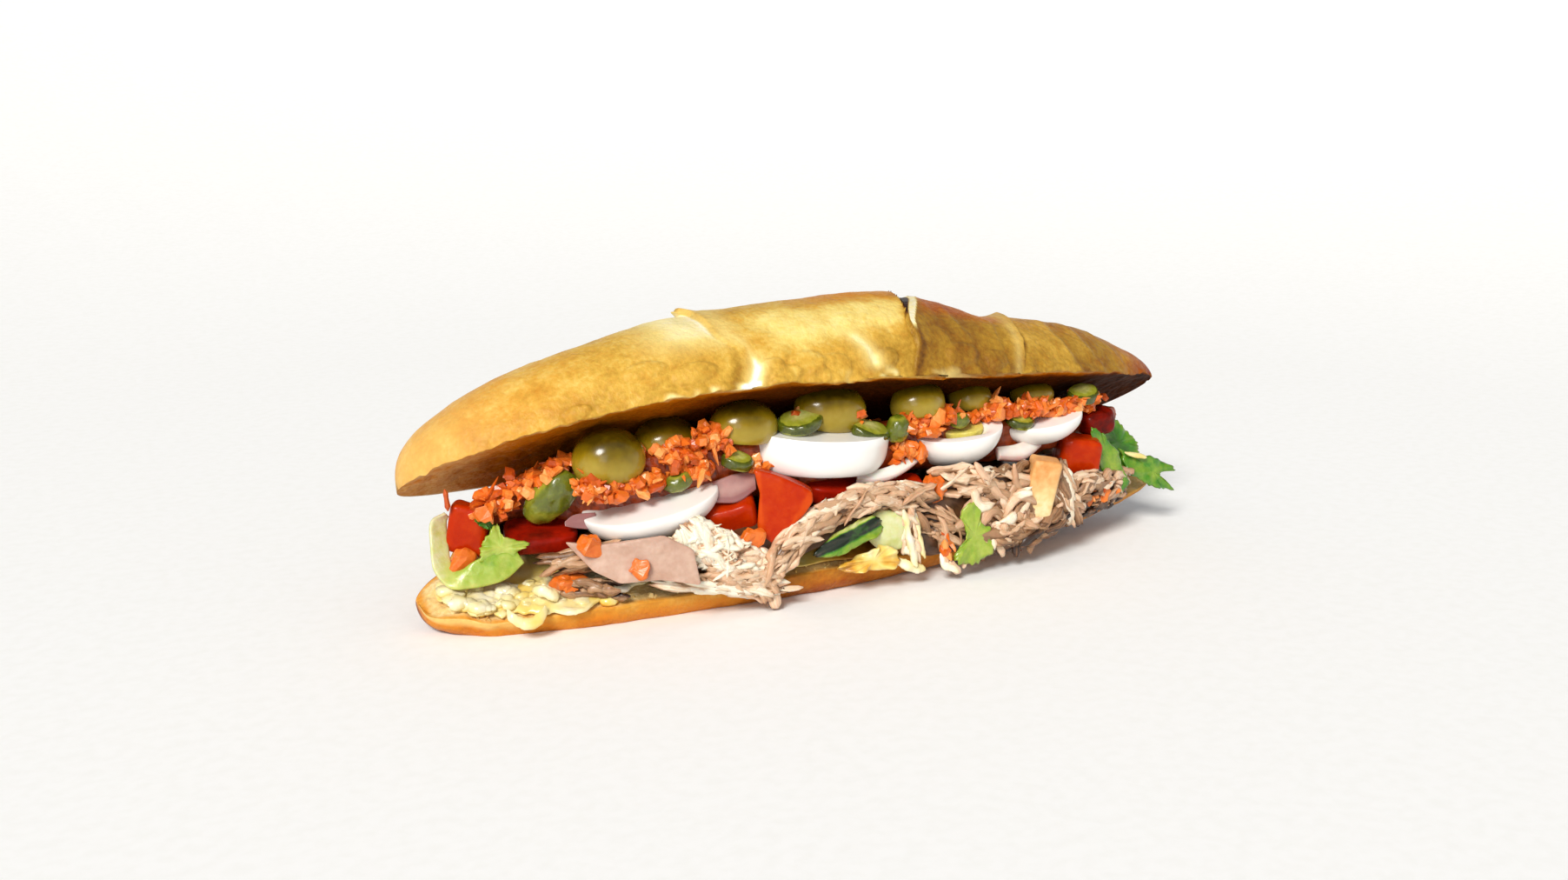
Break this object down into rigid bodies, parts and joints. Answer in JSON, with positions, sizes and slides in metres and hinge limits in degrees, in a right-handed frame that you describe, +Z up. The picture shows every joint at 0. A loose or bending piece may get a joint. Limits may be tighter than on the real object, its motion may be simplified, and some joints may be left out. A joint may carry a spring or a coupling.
{
  "type": "bocadillo",
  "caption": "Long crusty roll split open along its front and filled with flaked tuna, egg, tomato, onion, grated carrot, olives, gherkins, lettuce and mayonnaise.",
  "frame": {"origin": "under the middle of the whole, on the surface it rests on", "axes": "+X along the roll towards its narrower end, -Y out of its open front, +Z up"},
  "size_m": [0.2562, 0.0772, 0.0846],
  "materials": {
    "crust": "golden brown baked crust, satin, with pale opened slashes and a torn cream crumb",
    "sauce": "cream mayonnaise, soft wet gloss",
    "tuna": "pinkish beige flaked fish, moist",
    "carrot": "bright orange grated carrot, moist",
    "egg_white": "white boiled egg white, smooth and soft",
    "egg_yolk": "pale yellow boiled yolk, crumbly",
    "onion": "pale pinkish raw onion, wet",
    "tomato": "orange-red diced tomato, wet gloss",
    "olive": "olive green pitted olives, oily gloss",
    "gherkin": "green pickled gherkin slices with paler flesh, wet",
    "lettuce": "bright green curly lettuce, waxy, with a pale rib"
  },
  "bodies": {
    "root": {"bread_base": "crust", "bread_lid": "crust", "mayonnaise": "sauce", "tuna_flakes": "tuna", "tuna_slice": "tuna", "tuna_chunk": "tuna", "grated_carrot": "carrot", "egg_yolk": "egg_yolk", "lettuce_rib": "lettuce", "carrot_bit_1": "carrot", "carrot_bit_2": "carrot", "carrot_bit_3": "carrot", "carrot_bit_4": "carrot", "carrot_bit_5": "carrot", "carrot_bit_6": "carrot", "egg_white_1": "egg_white", "egg_white_2": "egg_white", "egg_white_3": "egg_white", "egg_white_4": "egg_white", "onion_1": "onion", "onion_2": "onion", "onion_3": "onion", "onion_4": "onion", "tomato_1": "tomato", "tomato_2": "tomato", "tomato_3": "tomato", "tomato_4": "tomato", "tomato_5": "tomato", "tomato_6": "tomato", "tomato_7": "tomato", "tomato_8": "tomato", "olive_1": "olive", "olive_2": "olive", "olive_3": "olive", "olive_4": "olive", "olive_5": "olive", "olive_6": "olive", "olive_7": "olive", "gherkin_1": "gherkin", "gherkin_2": "gherkin", "gherkin_3": "gherkin", "gherkin_4": "gherkin", "gherkin_5": "gherkin", "gherkin_6": "gherkin", "gherkin_7": "gherkin", "gherkin_8": "gherkin", "gherkin_9": "gherkin", "lettuce_1": "lettuce", "lettuce_2": "lettuce", "lettuce_3": "lettuce", "lettuce_4": "lettuce", "lettuce_5": "lettuce"}
  },
  "joints": []
}
